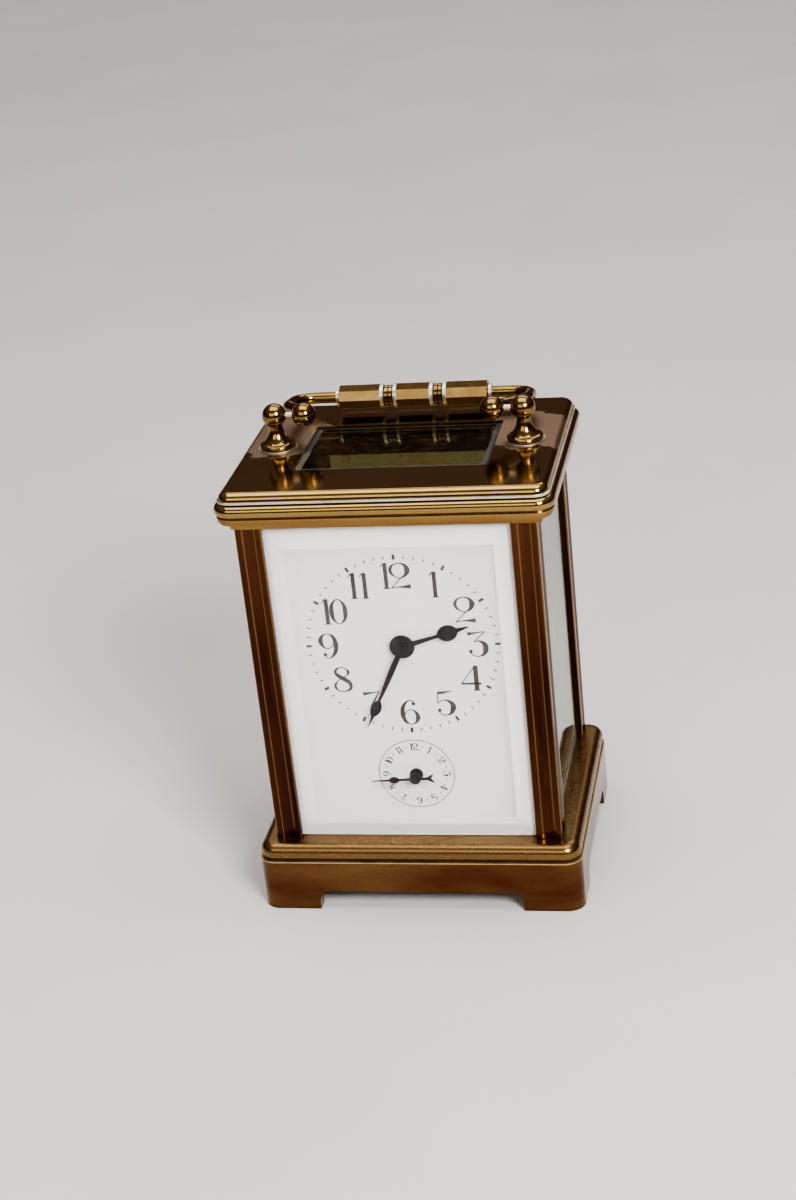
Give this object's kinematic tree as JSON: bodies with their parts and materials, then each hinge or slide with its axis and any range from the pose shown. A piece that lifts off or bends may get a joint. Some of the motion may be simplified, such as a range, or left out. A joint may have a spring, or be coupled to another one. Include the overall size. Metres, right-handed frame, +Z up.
{
  "type": "carriage clock",
  "caption": "Glazed brass carriage clock with alarm: moulded base and cornice, corner posts, bevelled panes, folding handle, enamel dial, rear door and a key-wound platform-lever movement.",
  "frame": {"origin": "middle of the underside of the base, on the surface that the clock stands on", "axes": "+X to the right of a person facing the dial, +Y from the dial to the rear door, +Z up"},
  "size_m": [0.0852, 0.0692, 0.1287],
  "materials": {
    "case_brass": "polished, aged",
    "door_brass": "polished, aged",
    "handle_brass": "polished, aged",
    "washer_metal": "worn",
    "glass": "clear, bevelled",
    "enamel": "gloss",
    "blued_steel": "dark blued",
    "movement_brass": "lacquered",
    "platform_metal": "silvered",
    "steel": "bright",
    "bell_metal": "dull"
  },
  "bodies": {
    "root": {"base_plinth": "case_brass", "base_screws": "steel", "post_front_left": "case_brass", "post_front_right": "case_brass", "post_rear_left": "case_brass", "post_rear_right": "case_brass", "cornice": "case_brass", "top_glass": "glass", "front_glass": "glass", "left_glass": "glass", "right_glass": "glass", "handle_post_left": "handle_brass", "handle_post_right": "handle_brass", "handle_washers": "washer_metal", "handle_nuts": "steel", "handle_pins": "washer_metal", "dial_plate": "enamel", "front_plate": "movement_brass", "back_plate": "movement_brass", "plate_pillars": "movement_brass", "plate_nuts": "steel", "platform": "platform_metal", "platform_screws": "steel", "escapement_bridge": "platform_metal", "balance_cock": "platform_metal", "bell": "bell_metal", "bell_screw": "steel"},
    "door": {"rear_door": "door_brass", "door_glass": "glass", "door_hinge_pins": "door_brass", "door_knob": "door_brass"},
    "handle": {"handle_arm_left": "handle_brass", "handle_arm_right": "handle_brass", "handle_grip": "handle_brass"},
    "minute_work": {"minute_hand": "blued_steel", "cannon_pinion": "steel", "centre_arbor": "steel"},
    "hour_work": {"hour_hand": "blued_steel", "hour_wheel": "movement_brass"},
    "minute_wheel": {"minute_wheel": "movement_brass"},
    "alarm_idler": {"alarm_idler": "movement_brass"},
    "alarm_wheel": {"alarm_wheel": "movement_brass"},
    "alarm_setting": {"alarm_hand": "blued_steel", "alarm_setting_arbor": "steel"},
    "winding_arbor": {"winding_arbor": "steel"},
    "click": {"click": "steel"},
    "barrel": {"barrel": "movement_brass", "barrel_cap": "movement_brass", "mainspring": "steel"},
    "centre_wheel": {"centre_wheel": "movement_brass"},
    "third_wheel": {"third_wheel": "movement_brass"},
    "contrate_wheel": {"contrate_wheel": "movement_brass"},
    "escape_wheel": {"escape_wheel": "steel"},
    "lever": {"lever": "steel"},
    "balance": {"balance_wheel": "movement_brass", "hairspring": "steel"},
    "alarm_barrel": {"alarm_barrel": "movement_brass"},
    "alarm_winding": {"alarm_winding_arbor": "steel"},
    "alarm_verge": {"alarm_verge_wheel": "movement_brass"},
    "alarm_hammer": {"alarm_hammer": "steel"}
  },
  "joints": [
    {"name": "handle_fold", "type": "hinge", "parent": "root", "child": "handle", "pos_m": [0, 0, 0.1256], "axis": [1, 0, 0], "range_deg": [0, 199]},
    {"name": "door_swing", "type": "hinge", "parent": "root", "child": "door", "pos_m": [0.0292, 0.0284, 0.062], "axis": [0, 0, -1], "range_deg": [0, 95]},
    {"name": "minute_turn", "type": "hinge", "parent": "root", "child": "minute_work", "pos_m": [0, 0, 0.07146], "axis": [0, 1, 0], "continuous": true},
    {"name": "hour_turn", "type": "hinge", "parent": "root", "child": "hour_work", "pos_m": [0, -0.02, 0.07146], "axis": [0, 1, 0], "continuous": true},
    {"name": "minute_wheel_turn", "type": "hinge", "parent": "root", "child": "minute_wheel", "pos_m": [0.00424, -0.018, 0.0757], "axis": [0, 1, 0], "continuous": true},
    {"name": "idler_turn", "type": "hinge", "parent": "root", "child": "alarm_idler", "pos_m": [0, -0.019, 0.05286], "axis": [0, 1, 0], "continuous": true},
    {"name": "alarm_wheel_turn", "type": "hinge", "parent": "root", "child": "alarm_wheel", "pos_m": [0, -0.019, 0.03426], "axis": [0, 1, 0], "continuous": true},
    {"name": "alarm_set_turn", "type": "hinge", "parent": "root", "child": "alarm_setting", "pos_m": [0, 0, 0.03426], "axis": [0, 1, 0], "continuous": true},
    {"name": "winding_turn", "type": "hinge", "parent": "root", "child": "winding_arbor", "pos_m": [-0.008, 0, 0.05534], "axis": [0, 1, 0], "range_deg": [0, 1980]},
    {"name": "click_lift", "type": "hinge", "parent": "root", "child": "click", "pos_m": [-0.0186, 0.014, 0.0615], "axis": [0, -1, 0], "range_deg": [0, 10]},
    {"name": "barrel_turn", "type": "hinge", "parent": "root", "child": "barrel", "pos_m": [-0.008, 0, 0.05534], "axis": [0, 1, 0], "continuous": true},
    {"name": "centre_turn", "type": "hinge", "parent": "root", "child": "centre_wheel", "pos_m": [0, 0, 0.07146], "axis": [0, 1, 0], "continuous": true},
    {"name": "third_turn", "type": "hinge", "parent": "root", "child": "third_wheel", "pos_m": [0.01224, 0, 0.07443], "axis": [0, 1, 0], "continuous": true},
    {"name": "contrate_turn", "type": "hinge", "parent": "root", "child": "contrate_wheel", "pos_m": [0.006, 0, 0.0825], "axis": [0, 1, 0], "continuous": true},
    {"name": "escape_turn", "type": "hinge", "parent": "root", "child": "escape_wheel", "pos_m": [0.006, -0.00889, 0.095], "axis": [0, 0, 1], "continuous": true},
    {"name": "lever_rock", "type": "hinge", "parent": "root", "child": "lever", "pos_m": [0.00298, -0.00528, 0.095], "axis": [0, 0, 1], "range_deg": [-5, 5]},
    {"name": "balance_swing", "type": "hinge", "parent": "root", "child": "balance", "pos_m": [-0.00113, -0.00038, 0.098], "axis": [0, 0, 1], "range_deg": [-135, 135], "stiffness_Nm_per_rad": 0.000004},
    {"name": "alarm_barrel_turn", "type": "hinge", "parent": "root", "child": "alarm_barrel", "pos_m": [0.0135, 0, 0.0385], "axis": [0, 1, 0], "continuous": true},
    {"name": "alarm_winding_turn", "type": "hinge", "parent": "root", "child": "alarm_winding", "pos_m": [0.0135, 0, 0.0385], "axis": [0, 1, 0], "range_deg": [0, 1440]},
    {"name": "alarm_verge_turn", "type": "hinge", "parent": "root", "child": "alarm_verge", "pos_m": [0.00799, 0, 0.03064], "axis": [0, 1, 0], "continuous": true},
    {"name": "hammer_rock", "type": "hinge", "parent": "root", "child": "alarm_hammer", "pos_m": [0.009, 0, 0.0236], "axis": [0, 1, 0], "range_deg": [-5, 7]}
  ],
  "couplings": [
    {"joint": "hour_turn", "follows": "minute_turn", "ratio": 0.083333},
    {"joint": "minute_wheel_turn", "follows": "minute_turn", "ratio": -0.33333},
    {"joint": "idler_turn", "follows": "minute_turn", "ratio": -0.028986},
    {"joint": "alarm_wheel_turn", "follows": "minute_turn", "ratio": 0.083333},
    {"joint": "centre_turn", "follows": "contrate_turn", "ratio": 0.016667},
    {"joint": "third_turn", "follows": "contrate_turn", "ratio": -0.13333},
    {"joint": "barrel_turn", "follows": "contrate_turn", "ratio": -0.0020833},
    {"joint": "escape_turn", "follows": "contrate_turn", "ratio": -10},
    {"joint": "alarm_verge_turn", "follows": "alarm_barrel_turn", "ratio": -7}
  ]
}
